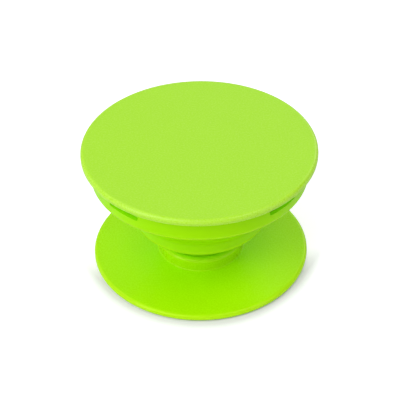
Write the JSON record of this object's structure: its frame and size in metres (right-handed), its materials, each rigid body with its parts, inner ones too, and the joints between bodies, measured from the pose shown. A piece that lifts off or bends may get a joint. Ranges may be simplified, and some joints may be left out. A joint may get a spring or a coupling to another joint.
{
  "type": "collapsible phone grip",
  "caption": "Collapsible phone grip: a round disc on a folding bellows that turns on a round adhesive base plate, pulled out for use.",
  "frame": {"origin": "middle of the adhesive pad's underside, on the phone's back", "axes": "+Z along the grip's axis, from the pad towards the top disc; the lugs lie halfway between +X and +Y"},
  "size_m": [0.04, 0.04, 0.0228],
  "materials": {
    "adhesive_gel": "soft tacky gel, satin",
    "base_plastic": "moulded, satin with a fine spark texture",
    "plug_plastic": "natural moulded plastic",
    "bellows_elastomer": "soft thermoplastic elastomer, semi gloss",
    "disc_plastic": "moulded, matt with a fine spark texture"
  },
  "bodies": {
    "base": {"base_plate": "base_plastic", "adhesive_pad": "adhesive_gel"},
    "turning_bellows": {"bellows": "bellows_elastomer", "snap_plug": "plug_plastic"},
    "top": {"top_disc": "disc_plastic"}
  },
  "joints": [
    {"name": "swivel", "type": "hinge", "parent": "base", "child": "turning_bellows", "pos_m": [0, 0, 0.0022], "axis": [0, 0, 1], "continuous": true},
    {"name": "collapse", "type": "slide", "parent": "turning_bellows", "child": "top", "axis": [0, 0, -1], "range_m": [0, 0.0159], "deforming": ["bellows"]}
  ]
}
